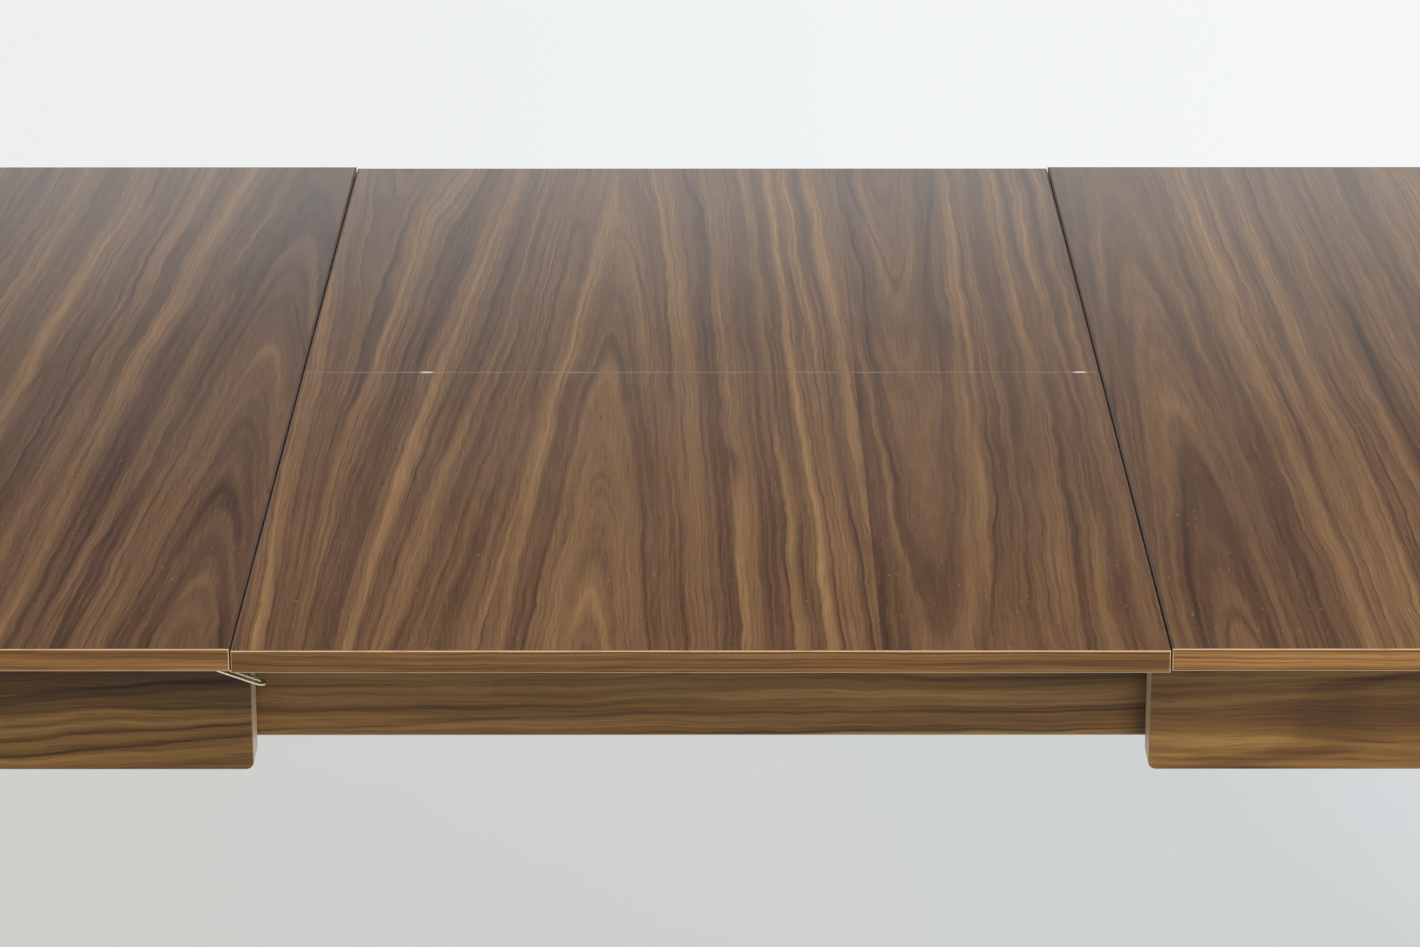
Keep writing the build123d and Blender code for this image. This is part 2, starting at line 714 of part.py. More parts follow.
def arm_brackets():
    first, second = leaf_pins()
    with BuildPart() as brackets:
        for sx in sides.values():
            x_out = plate_x + plate_thickness
            y0, y1 = first[0] - plate_margin, second[0] + plate_margin
            z0 = leaf_under_z - plate_thickness
            block(sx * (x_out - plate_width), sx * x_out, y0, y1, z0, leaf_under_z)
            y0, y1 = first[0] - flange_margin, second[0] + flange_margin
            z0 = second[1] - flange_margin + 1
            block(sx * plate_x, sx * x_out, y0, y1, z0, leaf_under_z)
            for (y, z), x_face in ((first, first_arm_x), (second, second_arm_x)):
                x_head = x_face + arm_thickness + 0.2
                bar((sx * plate_x, y, z), (sx * x_head, y, z), pin_radius)
                bar((sx * x_head, y, z), (sx * (x_head + pin_head_height), y, z), pin_head_radius)
    brackets.part.label = "leaf_arm_brackets"
    export_step(brackets.part, "parts/leaf_arm_brackets.step")


# ---- Leaf ----

def leaf_panel(end, sy):
    """One half of the leaf: banded on its outer edge and both sides, bored for the barrel hinges."""
    x1 = leaf_x - band_thickness
    y_fold, y_edge = sy * fold_gap / 2, sy * (front_y - band_thickness)
    with BuildPart() as panel:
        y0, y1 = min(y_fold, y_edge), max(y_fold, y_edge)
        bevels = (bevel_run, 0) if sy < 0 else (0, bevel_run)
        outline_x(seam_outline(y0, y1, leaf_top_z, leaf_edge_low_z, leaf_under_z, *bevels), -x1, x1)
        for sx in sides.values():
            start = (sx * barrel_x, y_fold, barrel_z)
            end_point = (sx * barrel_x, sy * (fold_gap / 2 + barrel_depth), barrel_z)
            bar(start, end_point, barrel_radius + barrel_clearance, Mode.SUBTRACT)
            low = (sx * stud_x, sy * clip_y, leaf_under_z)
            high = (sx * stud_x, sy * clip_y, leaf_under_z + stud_depth)
            bar(low, high, stud_shank, Mode.SUBTRACT)
    panel.part.label = f"leaf_{end}_panel"
    export_step(panel.part, f"parts/{panel.part.label}.step")


def leaf_bands(end, sy):
    y_fold, y_edge = sy * fold_gap / 2, sy * front_y
    y_inner = sy * (front_y - band_thickness)
    with BuildPart() as bands:
        block(-leaf_x, leaf_x, y_inner, y_edge, leaf_edge_low_z, leaf_top_z)
        outer = bands.edges().filter_by(lambda e: abs(e.center().Y - y_edge) < 1e-6)
        chamfer(outer, arris)
        bevels = (bevel_run, 0) if sy < 0 else (0, bevel_run)
        y0, y1 = min(y_fold, y_inner), max(y_fold, y_inner)
        profile = seam_outline(y0, y1, leaf_top_z, leaf_edge_low_z, leaf_under_z, *bevels)
        for sx in sides.values():
            outline_x(profile, sx * leaf_x, sx * (leaf_x - band_thickness))
    bands.part.label = f"leaf_{end}_bands"
    export_step(bands.part, f"parts/{bands.part.label}.step")


def leaf_barrels(end, sy):
    with BuildPart() as barrels:
        for sx in sides.values():
            x = sx * barrel_x
            start = (x, sy * fold_gap / 2, barrel_z)
            bar(start, (x, sy * (fold_gap / 2 + barrel_depth), barrel_z), barrel_radius)
            half = link_half_width + pocket_side
            y1 = sy * (link_reach + pocket_play)
            z0 = fold_z - hypot(link_reach, link_bottom) - pocket_play
            block(x - half, x + half, 0, y1, z0, fold_z - link_top + pocket_side / 2, Mode.SUBTRACT)
    barrels.part.label = f"leaf_{end}_barrels"
    export_step(barrels.part, f"parts/{barrels.part.label}.step")


def hinge_links():
    with BuildPart() as links:
        for sx in sides.values():
            x0, x1 = sx * barrel_x - link_half_width, sx * barrel_x + link_half_width
            block(x0, x1, -link_reach, link_reach, fold_z - link_bottom, fold_z - link_top)
    links.part.label = "leaf_hinge_links"
    export_step(links.part, "parts/leaf_hinge_links.step")


def leaf_studs(end, sy):
    with BuildPart() as studs:
        for sx in sides.values():
            x, y = sx * stud_x, sy * clip_y
            bar((x, y, leaf_under_z - stud_drop), (x, y, leaf_under_z + stud_depth), stud_shank)
            head_top = leaf_under_z - stud_drop + stud_head_height
            bar((x, y, leaf_under_z - stud_drop), (x, y, head_top), stud_head)
            bar((x, y, leaf_under_z - stud_base_height), (x, y, leaf_under_z), stud_base_radius)
    studs.part.label = f"leaf_{end}_studs"
    export_step(studs.part, f"parts/{studs.part.label}.step")


# ---- Wire clips ----

def wire_clip(side, sx, end, sy):
    """A hairpin of round wire: two stubs in the knuckles, two legs and a round tip."""
    hanging = side == "left" and end == "front"
    lean = radians(clip_droop if hanging else 180.0)
    along = Vector(-sx * cos(lean), 0, -sin(lean) if hanging else 0)
    pivot = Vector(sx * clip_x, sy * clip_y, clip_z)
    plane = Plane(origin=pivot, x_dir=along, z_dir=along.cross(Vector(0, 1, 0)))
    half = clip_spacing / 2
    tip = clip_length - wire_radius
    points = [(0, -half - clip_stub), (0, -half), (tip, -half), (tip, half), (0, half), (0, half + clip_stub)]
    with BuildPart() as clip:
        with BuildLine(plane) as path:
            FilletPolyline(*points, radius=[clip_bend, half * 0.97, half * 0.97, clip_bend])
        with BuildSketch(Plane(origin=path.line @ 0, z_dir=path.line % 0)):
            Circle(wire_radius)
        sweep()
    clip.part.label = f"{side}_{end}_clip"
    export_step(clip.part, f"parts/{clip.part.label}.step")


# ---- Build everything ----

for side, sx in sides.items():
    top_panel(side, sx)
    edge_bands(side, sx)
    end_apron(side, sx)
    glides(side, sx)
    corner_brackets(side, sx)
    leg_bolts(side, sx)
    bearers(side, sx)
    runners(side, sx)
    ball_cages(side, sx)
    stop_blocks(side, sx)
    clip_plates(side, sx)
    half_screws(side, sx)
    for end, sy in ends.items():
        front_apron(side, sx, end, sy)
        leg(side, sx, end, sy)
        wire_clip(side, sx, end, sy)

for end, sy in ends.items():
    frame_rail(end, sy)
    slide_channel(end, sy)
    leaf_panel(end, sy)
    leaf_bands(end, sy)
    leaf_barrels(end, sy)
    leaf_studs(end, sy)

crossbars()
rail_screws()
pads()
pivot_pins()
swing_arms("first_swing_arms", arm_pivots()[0], leaf_pins()[0], first_arm_x)
swing_arms("second_swing_arms", arm_pivots()[1], leaf_pins()[1], second_arm_x)
arm_brackets()
hinge_links()

print(f"arm length {arm_length:.3f}, swing {swing_angle:.4f} degrees, fold ratio {180 / swing_angle:.6f}")
print(f"rail half length {rail_end_x:.1f}, stowed leaf underside {pack_under_z:.1f}")
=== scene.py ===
import json
import math

import bpy
import numpy as np
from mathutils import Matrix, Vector


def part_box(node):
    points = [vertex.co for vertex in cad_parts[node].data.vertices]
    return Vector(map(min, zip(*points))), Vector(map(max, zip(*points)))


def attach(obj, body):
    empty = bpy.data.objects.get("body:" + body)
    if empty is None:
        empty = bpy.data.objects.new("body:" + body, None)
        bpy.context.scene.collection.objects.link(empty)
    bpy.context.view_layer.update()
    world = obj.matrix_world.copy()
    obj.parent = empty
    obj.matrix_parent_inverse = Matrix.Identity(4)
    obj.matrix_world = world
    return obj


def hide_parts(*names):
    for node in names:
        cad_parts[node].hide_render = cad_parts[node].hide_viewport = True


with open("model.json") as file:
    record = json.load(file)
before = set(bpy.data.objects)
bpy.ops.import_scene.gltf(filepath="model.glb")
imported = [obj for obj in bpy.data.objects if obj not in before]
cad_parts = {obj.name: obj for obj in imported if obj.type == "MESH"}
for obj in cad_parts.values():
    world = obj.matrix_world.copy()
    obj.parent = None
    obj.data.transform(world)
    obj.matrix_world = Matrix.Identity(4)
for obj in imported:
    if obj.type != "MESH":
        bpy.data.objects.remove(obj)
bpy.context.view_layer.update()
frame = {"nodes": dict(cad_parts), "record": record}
print("frame loaded:", len(frame["nodes"]), "nodes")

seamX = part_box("right_top_panel")[0][0]  # where the right top begins, in metres


# small helpers for building node trees

def feed(tree, value, socket):  # link a socket, or set a plain value
    if isinstance(value, bpy.types.NodeSocket):
        tree.links.new(value, socket)
    else:
        socket.default_value = value


def node(tree, kind, inputs=None, **settings):  # one node with its inputs fed
    made = tree.nodes.new(kind)
    for name, value in settings.items():
        setattr(made, name, value)
    for key, value in (inputs or {}).items():
        feed(tree, value, made.inputs[key])
    return made


def calc(tree, operation, *values):  # one Math node
    return node(tree, "ShaderNodeMath", dict(enumerate(values)), operation=operation).outputs[0]


def total(tree, *parts):  # parts: (value, share) pairs, each value times its share, all added up
    added = calc(tree, "MULTIPLY", *parts[0])
    for value, share in parts[1:]:
        added = calc(tree, "ADD", added, calc(tree, "MULTIPLY", value, share))
    return added


def distance(tree, value, at):  # how far a value is from a place, never negative
    return calc(tree, "ABSOLUTE", calc(tree, "SUBTRACT", value, at))


def separate(tree, value):
    return node(tree, "ShaderNodeSeparateXYZ", {0: value}).outputs


def vector(tree, x, y, z):
    return node(tree, "ShaderNodeCombineXYZ", {0: x, 1: y, 2: z}).outputs[0]


def noise(tree, place, scale=1.0, detail=2.0):
    return node(tree, "ShaderNodeTexNoise", {"Vector": place, "Scale": scale, "Detail": detail}).outputs[0]


def spread(tree, value, low, high, toLow=0.0, toHigh=1.0, kind="SMOOTHSTEP"):  # map a range to another
    values = {0: value, 1: low, 2: high, 3: toLow, 4: toHigh}
    return node(tree, "ShaderNodeMapRange", values, interpolation_type=kind).outputs[0]


def mixColor(tree, factor, first, second):
    return node(tree, "ShaderNodeMix", {0: factor, 6: first, 7: second}, data_type="RGBA").outputs[2]


def mixValue(tree, factor, first, second):
    return node(tree, "ShaderNodeMix", {0: factor, 2: first, 3: second}).outputs[0]


def ramp(tree, factor, stops, interpolation="EASE"):  # stops: (place, grey or colour)
    made = node(tree, "ShaderNodeValToRGB", {0: factor})
    made.color_ramp.interpolation = interpolation
    items = made.color_ramp.elements
    while len(items) < len(stops):
        items.new(0.5)
    for item, (place, value) in zip(items, stops):
        item.position = place
        item.color = (value, value, value, 1) if isinstance(value, float) else (*value, 1)
    return made.outputs[0]


def group(name, inputs, outputs):  # an empty node group with named sockets
    tree = bpy.data.node_groups.new(name, "ShaderNodeTree")
    kinds = {"f": "NodeSocketFloat", "v": "NodeSocketVector"}
    for label, kind, default in inputs:
        socket = tree.interface.new_socket(label, in_out="INPUT", socket_type=kinds[kind])
        if kind == "f":
            socket.default_value = default
    for label, kind in outputs:
        tree.interface.new_socket(label, in_out="OUTPUT", socket_type=kinds[kind])
    return tree, node(tree, "NodeGroupInput").outputs, node(tree, "NodeGroupOutput").inputs


def use(tree, made, **values):  # place a group in a tree
    placed = node(tree, "ShaderNodeGroup", node_tree=made)
    for label, value in values.items():
        feed(tree, value, placed.inputs[label])
    return placed.outputs


# wood effects shared by the materials

# waves that bend the rings: (repeats per metre across the grain, along it, share of the bend)
ringWaves = {"slow": (7.0, 2.6, 1.6), "quick": (26.0, 12.0, 0.75), "jag": (70.0, 42.0, 0.28)}


def makeRingGroup():
    # growth rings cut flat: ring = sqrt((x - axis)^2 + round^2) - round + climb * y, so equal rings are
    # straight lines far from the axis and close into pointed arches on it
    tree, given, out = group("ringField", [("Place", "v", None), ("Seed", "f", 0.0), ("Wander", "f", 0.006),
                             ("Axis", "f", 0.0), ("Round", "f", 0.015), ("Climb", "f", 0.05)],
                             [("Ring", "f"), ("Side", "f"), ("Across", "f"), ("Along", "f")])
    x, y, _ = separate(tree, given["Place"])

    def wave(across, along):
        first, second = calc(tree, "MULTIPLY", x, across), calc(tree, "MULTIPLY", y, along)
        return calc(tree, "SUBTRACT", noise(tree, vector(tree, first, second, given["Seed"]), 1.0, 1.0), 0.5)

    bend = total(tree, *[(wave(across, along), share) for across, along, share in ringWaves.values()])
    bent = calc(tree, "ADD", x, calc(tree, "MULTIPLY", bend, given["Wander"]))
    away = calc(tree, "SUBTRACT", bent, given["Axis"])
    squares = total(tree, (away, away), (given["Round"], given["Round"]))
    ring = calc(tree, "SUBTRACT", calc(tree, "SQRT", squares), given["Round"])
    feed(tree, calc(tree, "ADD", ring, calc(tree, "MULTIPLY", given["Climb"], y)), out["Ring"])
    feed(tree, spread(tree, away, -0.001, 0.001), out["Side"])
    feed(tree, bent, out["Across"])
    feed(tree, y, out["Along"])
    return tree


grainLook = {
    # bands of tone: (repeats per ring, repeats per metre along the grain, shift, share of the tone)
    "bands": [(0.33, 1.2, 0.0, 0.24), (1.05, 1.7, 4.0, 0.36), (2.7, 2.6, 8.0, 0.50), (7.0, 5.0, 11.0, 0.36)],
    # tone through one ring: a slow rise, dark late wood, then a sharp fall
    "profile": [(0.0, 0.5), (0.08, 0.64), (0.60, 0.52), (0.82, 0.38), (0.90, 0.02), (0.95, 0.16), (1.0, 0.5)],
    # fine marks: (repeats per metre across, along, detail, noise where they start, where they are full)
    "fibre": (950.0, 22.0, 2.0, 0.2, 0.8),
    "pores": (1700.0, 60.0, 0.0, 0.66, 0.82),
    "flecks": (900.0, 150.0, 1.0, 0.70, 0.82),
}


def makeGrainGroup():
    # noise stretched far along the grain in bands of several widths, then thin dark ring lines; both follow
    # the ring coordinate, so they bend with it. Fibre, dark pores and pale flecks are finer noise
    tree, given, out = group("woodGrain", [("Ring", "f", 0.0), ("Across", "f", 0.0), ("Along", "f", 0.0),
                             ("Seed", "f", 0.0), ("Pitch", "f", 0.008)],
                             [("Tone", "f"), ("Lines", "f"), ("Fibre", "f"), ("Pores", "f"), ("Flecks", "f")])
    count = calc(tree, "DIVIDE", given["Ring"], given["Pitch"])
    drift = calc(tree, "MULTIPLY", given["Across"], 9.0)

    def band(across, along, shift, detail=1.0):
        place = vector(tree, calc(tree, "MULTIPLY", count, across),
                       calc(tree, "ADD", calc(tree, "MULTIPLY", given["Along"], along), shift),
                       calc(tree, "ADD", given["Seed"], drift))
        return spread(tree, noise(tree, place, 1.0, detail), 0.28, 0.72, -1.0, 1.0, "LINEAR")

    bands = [(band(across, along, shift), share) for across, along, shift, share in grainLook["bands"]]
    feed(tree, total(tree, *bands), out["Tone"])
    phase = calc(tree, "ADD", count, calc(tree, "MULTIPLY", band(0.45, 1.5, 13.0), 0.8))
    line = ramp(tree, calc(tree, "FRACT", phase), grainLook["profile"])
    kept = spread(tree, band(0.7, 2.0, 17.0, 0.0), -0.7, 0.6)
    feed(tree, calc(tree, "MULTIPLY", calc(tree, "SUBTRACT", line, 0.5), kept), out["Lines"])

    def marks(across, along, detail, low, high):
        place = vector(tree, calc(tree, "MULTIPLY", given["Across"], across),
                       calc(tree, "MULTIPLY", given["Along"], along), given["Seed"])
        return spread(tree, noise(tree, place, 1.0, detail), low, high)

    feed(tree, calc(tree, "SUBTRACT", marks(*grainLook["fibre"]), 0.5), out["Fibre"])
    feed(tree, marks(*grainLook["pores"]), out["Pores"])
    feed(tree, marks(*grainLook["flecks"]), out["Flecks"])
    return tree


# a face gets the pale arris, rubbed wear with a painted highlight, when its largest normal part lies in this
# range; it comes and goes in patches
arrisLook = {"lean": (0.72, 0.97), "patches": 60.0, "patchRange": (0.2, 0.5, 0.55, 1.0)}


def makeArrisGroup():
    # pale where a face leans between two square directions: rubbed wear on the arris, with a painted highlight
    # of the light it catches
    tree, given, out = group("rubbedArrisHighlight", [("Place", "v", None), ("Normal", "v", None)], [("Mask", "f")])
    sizes = [calc(tree, "ABSOLUTE", part) for part in separate(tree, given["Normal"])]
    largest = calc(tree, "MAXIMUM", sizes[0], calc(tree, "MAXIMUM", sizes[1], sizes[2]))
    lean = spread(tree, largest, *arrisLook["lean"], 1.0, 0.0)
    wearAndHighlight = spread(tree, noise(tree, given["Place"], arrisLook["patches"], 2.0), *arrisLook["patchRange"])
    feed(tree, calc(tree, "MULTIPLY", lean, wearAndHighlight), out["Mask"])
    return tree


ringGroup = makeRingGroup()
grainGroup = makeGrainGroup()
arrisGroup = makeArrisGroup()


def newMaterial(name, roughness, **sockets):
    # a material with its Principled BSDF; socket names are given with _ for each space
    made = bpy.data.materials.new(name)
    made.use_nodes = True
    tree = made.node_tree
    shader = tree.nodes["Principled BSDF"]
    shader.inputs["Roughness"].default_value = roughness
    for label, value in sockets.items():
        shader.inputs[label.replace("_", " ")].default_value = value
    coordinates = node(tree, "ShaderNodeTexCoord").outputs
    return made, tree, shader, coordinates


def bumpFrom(tree, shader, height, strength, distance):
    made = node(tree, "ShaderNodeBump", {"Strength": strength, "Distance": distance, "Height": height})
    tree.links.new(made.outputs[0], shader.inputs["Normal"])


def assign(material, *names):
    for name in names:
        slots = frame["nodes"][name].data.materials
        slots.clear()
        slots.append(material)


# veneers

# tone 0 is the darkest streak, 1 the palest
walnutColors = [(0.0, (0.033, 0.013, 0.008)), (0.18, (0.068, 0.030, 0.016)), (0.36, (0.114, 0.056, 0.028)),
                (0.52, (0.164, 0.085, 0.041)), (0.68, (0.226, 0.122, 0.055)), (0.84, (0.300, 0.168, 0.075)),
                (1.0, (0.385, 0.230, 0.107))]

# Each leaf of veneer: the line its arches close on, how round and how steep they are, and streaks given
# where they cross the middle of the table, left and right of that line, as (x, tone), metres
leafLeft = {
    "level": 0.51, "seed": 3.1, "wander": 0.006, "axis": -0.047, "round": 0.012, "pitch": 0.0072,
    "climb": [(-0.205, -0.03), (-0.188, -0.02), (-0.165, 0.04), (-0.130, 0.073), (-0.070, 0.045),
              (-0.040, 0.04),
              (0.010, 0.022), (0.080, 0.030)],
    "inner": [(-0.032, 0.66), (-0.020, 0.56), (-0.012, 0.66), (-0.004, 0.62), (0.0005, 0.56), (0.0020, 0.22),
              (0.0040, 0.42)],
    "left": [(-0.057, 0.30), (-0.062, 0.36), (-0.070, 0.78), (-0.076, 0.50), (-0.084, 0.36), (-0.092, 0.54),
             (-0.100, 0.32), (-0.108, 0.56), (-0.116, 0.34), (-0.122, 0.44), (-0.130, 0.78), (-0.137, 0.40),
             (-0.147, 0.22), (-0.157, 0.34), (-0.165, 0.68), (-0.172, 0.36), (-0.184, 0.50), (-0.192, 0.42),
             (-0.197, 0.74), (-0.201, 0.46)],
    "right": [(-0.038, 0.36), (-0.030, 0.54), (-0.018, 0.44), (-0.006, 0.74), (0.000, 0.46), (0.006, 0.28),
              (0.012, 0.74), (0.020, 0.50), (0.028, 0.26), (0.034, 0.80), (0.040, 0.30), (0.046, 0.80),
              (0.051, 0.48), (0.056, 0.76), (0.064, 0.26), (0.070, 0.82), (0.075, 0.56)],
}
leafRight = {
    "level": 0.49, "seed": 7.7, "wander": 0.008, "axis": 0.104, "round": 0.020, "pitch": 0.0095,
    "climb": [(0.070, -0.012), (0.104, -0.024), (0.130, -0.018), (0.160, -0.005), (0.205, 0.004)],
    "inner": [(-0.014, 0.46), (-0.009, 0.36), (-0.005, 0.48), (-0.002, 0.40), (0.001, 0.34), (0.004, 0.38),
              (0.0065, 0.30), (0.0080, 0.24), (0.0105, 0.48)],
    "left": [(0.085, 0.42), (0.079, 0.30), (0.072, 0.28), (0.060, 0.36)],
    "right": [(0.134, 0.60), (0.138, 0.40), (0.145, 0.52), (0.150, 0.34), (0.158, 0.46), (0.166, 0.80),
              (0.171, 0.42), (0.178, 0.68), (0.185, 0.32), (0.193, 0.64), (0.199, 0.44)],
}
topRight = {
    "level": 0.52, "seed": 11.3, "wander": 0.007, "axis": 0.232, "round": 0.022, "pitch": 0.0090,
    "climb": [(0.195, 0.02), (0.236, 0.026), (0.270, 0.012), (0.330, 0.008), (0.600, -0.02), (0.810, 0.03)],
    "inner": [(-0.014, 0.54), (-0.009, 0.48), (-0.006, 0.54), (-0.0042, 0.26), (-0.002, 0.46), (0.0, 0.60),
              (0.004, 0.42), (0.007, 0.30), (0.010, 0.40)],
    "left": [(0.200, 0.38), (0.190, 0.40)],
    "right": [(0.262, 0.30), (0.270, 0.48), (0.282, 0.76), (0.287, 0.44), (0.292, 0.66), (0.298, 0.38),
              (0.306, 0.78), (0.314, 0.40), (0.322, 0.54), (0.330, 0.64), (0.340, 0.36), (0.356, 0.62),
              (0.366, 0.48), (0.372, 0.32), (0.395, 0.62), (0.43, 0.40), (0.47, 0.66), (0.52, 0.34),
              (0.58, 0.62),
              (0.65, 0.38), (0.72, 0.64)],
}
topLeft = {
    "level": 0.45, "seed": 17.9, "wander": 0.008, "axis": -0.220, "round": 0.014, "pitch": 0.0090,
    "climb": [(-0.810, 0.02), (-0.500, -0.02), (-0.350, 0.035), (-0.290, 0.050), (-0.240, 0.060),
              (-0.195, 0.060)],
    "inner": [(-0.030, 0.42), (-0.018, 0.50), (-0.0162, 0.12), (-0.0135, 0.46), (-0.0120, 0.14),
              (-0.010, 0.44),
              (-0.0085, 0.22), (-0.006, 0.48), (0.0, 0.62), (0.006, 0.40), (0.014, 0.58), (0.019, 0.32)],
    "left": [(-0.262, 0.40), (-0.274, 0.36), (-0.283, 0.84), (-0.289, 0.54), (-0.295, 0.36), (-0.303, 0.64),
             (-0.312, 0.34), (-0.328, 0.40), (-0.341, 0.78), (-0.350, 0.38), (-0.372, 0.54), (-0.395, 0.34),
             (-0.43, 0.60), (-0.48, 0.36), (-0.53, 0.64), (-0.60, 0.38), (-0.67, 0.62), (-0.74, 0.36),
             (-0.80, 0.56)],
    "right": [(-0.185, 0.46)],
}


veneerLook = {
    "streaks": 0.78, "tone": 0.22, "lines": 0.40, "fibre": 0.16,  # shares in the final tone
    "poreColor": (0.035, 0.018, 0.013, 1), "poreDepth": 0.32,
    "fleckColor": (0.42, 0.28, 0.15, 1), "fleckFade": (-0.38, 0.0, 0.62, 0.18),  # more of them near the front
    # foldWearHighlightColor is the pale fold: rubbed wear with a painted highlight of its rounded edges
    "foldWearHighlightColor": (0.30, 0.22, 0.16, 1), "nickColor": (0.78, 0.72, 0.62, 1),
    "backColor": (0.105, 0.062, 0.036, 1), "backMix": 0.55, "backRough": 0.42,
    "gloss": (0.135, 0.155),  # roughness where the hand-rubbed finish is thin and thick
}


def leafTone(tree, piece, place):
    # streaks follow the ring coordinate: both sides share the arches near the axis
    x = separate(tree, place)[0]
    low, high = piece["climb"][0][0], piece["climb"][-1][0]
    where = calc(tree, "DIVIDE", calc(tree, "SUBTRACT", x, low), high - low)
    climb = ramp(tree, where, [((at - low) / (high - low), value + 0.5) for at, value in piece["climb"]])
    climb = calc(tree, "SUBTRACT", climb, 0.5)
    field = use(tree, ringGroup, Place=place, Seed=piece["seed"], Wander=piece["wander"], Axis=piece["axis"],
                Round=piece["round"], Climb=climb)
    ring = field["Ring"]

    def side(listed):
        rings = [math.hypot(at - piece["axis"], piece["round"]) - piece["round"] for at, _ in listed]
        stops = piece["inner"] + [(at, tone) for at, (_, tone) in zip(rings, listed)]
        first, last = stops[0][0], stops[-1][0] + 0.002
        spot = calc(tree, "DIVIDE", calc(tree, "SUBTRACT", ring, first), last - first)
        return ramp(tree, spot, [((at - first) / (last - first), tone) for at, tone in stops])

    streaks = mixValue(tree, field["Side"], side(piece["left"]), side(piece["right"]))
    grain = use(tree, grainGroup, Ring=ring, Across=field["Across"], Along=field["Along"], Seed=piece["seed"],
                Pitch=piece["pitch"])
    fading = spread(tree, noise(tree, place, 5.0, 2.0), 0.3, 0.7, 0.75, 1.0)
    look = veneerLook
    tone = total(tree, (calc(tree, "SUBTRACT", streaks, 0.5), calc(tree, "MULTIPLY", fading, look["streaks"])),
                 (grain["Tone"], look["tone"]), (grain["Lines"], look["lines"]),
                 (grain["Fibre"], look["fibre"]))
    return calc(tree, "ADD", tone, piece["level"]), grain


def finishVeneer(tree, shader, tone, grain, coordinates, wearAndHighlight=None, nick=None):
    # walnut colours by tone, then pores and flecks, then wear and painted highlight along the fold, and nicks;
    # the underside is a plainer, duller veneer
    place, look = coordinates["Object"], veneerLook
    color = ramp(tree, tone, walnutColors, "LINEAR")
    color = mixColor(tree, calc(tree, "MULTIPLY", grain["Pores"], look["poreDepth"]), color, look["poreColor"])
    nearFront = spread(tree, separate(tree, place)[1], *look["fleckFade"])
    color = mixColor(tree, calc(tree, "MULTIPLY", grain["Flecks"], nearFront), color, look["fleckColor"])
    if wearAndHighlight:
        color = mixColor(tree, wearAndHighlight, color, look["foldWearHighlightColor"])
        color = mixColor(tree, nick, color, look["nickColor"])
    under = spread(tree, separate(tree, coordinates["Normal"])[2], -0.3, -0.6, 0.0, 1.0)
    backing = mixColor(tree, look["backMix"], color, look["backColor"])
    color = mixColor(tree, under, color, backing)
    tree.links.new(color, shader.inputs["Base Color"])
    smear = spread(tree, noise(tree, place, 7.0, 3.0), 0.3, 0.7, *look["gloss"])
    rough = calc(tree, "ADD", smear, calc(tree, "MULTIPLY", under, look["backRough"]))
    tree.links.new(rough, shader.inputs["Roughness"])
    height = calc(tree, "SUBTRACT", calc(tree, "MULTIPLY", grain["Fibre"], 0.5), grain["Pores"])
    bumpFrom(tree, shader, height, 0.06, 0.0001)


# metres: where the two leaves of veneer meet, and the wear and painted highlight along the fold, as (full
# inside, gone outside)
leafWearAndHighlight = {"match": (0.0767, 0.0773), "nicksAt": (-0.138, 0.190), "nickLong": (0.001, 0.0045),
            "nickWide": (0.0006, 0.0018), "foldWide": (0.0004, 0.0014)}


def makeLeafVeneer():
    made, tree, shader, coordinates = newMaterial("leafVeneer", 0.3)
    place = coordinates["Object"]
    x, y, _ = separate(tree, place)
    leftTone, grain = leafTone(tree, leafLeft, place)
    rightTone, _ = leafTone(tree, leafRight, place)
    tone = mixValue(tree, spread(tree, x, *leafWearAndHighlight["match"], kind="LINEAR"), leftTone, rightTone)
    # the fold is pale: rubbed wear with a painted highlight of its rounded edges, and a bright nick where each
    # hinge sits close to the surface
    fromFold = calc(tree, "ABSOLUTE", y)
    nicks = [spread(tree, distance(tree, x, at), *leafWearAndHighlight["nickLong"], 1.0, 0.0)
             for at in leafWearAndHighlight["nicksAt"]]
    narrow = spread(tree, fromFold, *leafWearAndHighlight["nickWide"], 1.0, 0.0)
    nick = calc(tree, "MULTIPLY", calc(tree, "ADD", *nicks), narrow)
    fold = spread(tree, fromFold, *leafWearAndHighlight["foldWide"], 1.0, 0.0)
    wearAndHighlight = spread(tree, noise(tree, place, 38.0, 3.0), 0.40, 0.66, 0.30, 0.95)
    finishVeneer(tree, shader, tone, grain, coordinates, calc(tree, "MULTIPLY", fold, wearAndHighlight), nick)
    return made


def makeTopVeneer(name, piece):
    made, tree, shader, coordinates = newMaterial(name, 0.3)
    tone, grain = leafTone(tree, piece, coordinates["Object"])
    finishVeneer(tree, shader, tone, grain, coordinates)
    return made


assign(makeLeafVeneer(), "leaf_front_panel", "leaf_back_panel")
assign(makeTopVeneer("rightTopVeneer", topRight), "right_top_panel")
assign(makeTopVeneer("leftTopVeneer", topLeft), "left_top_panel")


# striped solid parts: bands, aprons, rails, legs

def turned(tree, place, axis):
    # grain along one axis; across it both other axes count, so lines show on every long face
    # for each grain axis: the main axis across it, the other one, the grain itself, and the outer face's place
    main, other, along, face = {"x": (2, 1, 0, 0.305), "y": (2, 0, 1, 0.70), "z": (0, 1, 2, 0.0)}[axis]
    slope = 0.83  # how fast the rings move down as the wood gets deeper
    parts = separate(tree, place)
    depth = calc(tree, "SUBTRACT", calc(tree, "ABSOLUTE", parts[other]), face)
    across = calc(tree, "ADD", parts[main], calc(tree, "MULTIPLY", depth, slope))
    return vector(tree, across, parts[along], 0.0)


def scaled(colors, factor):
    return [(place, tuple(part * factor for part in color)) for place, color in colors]


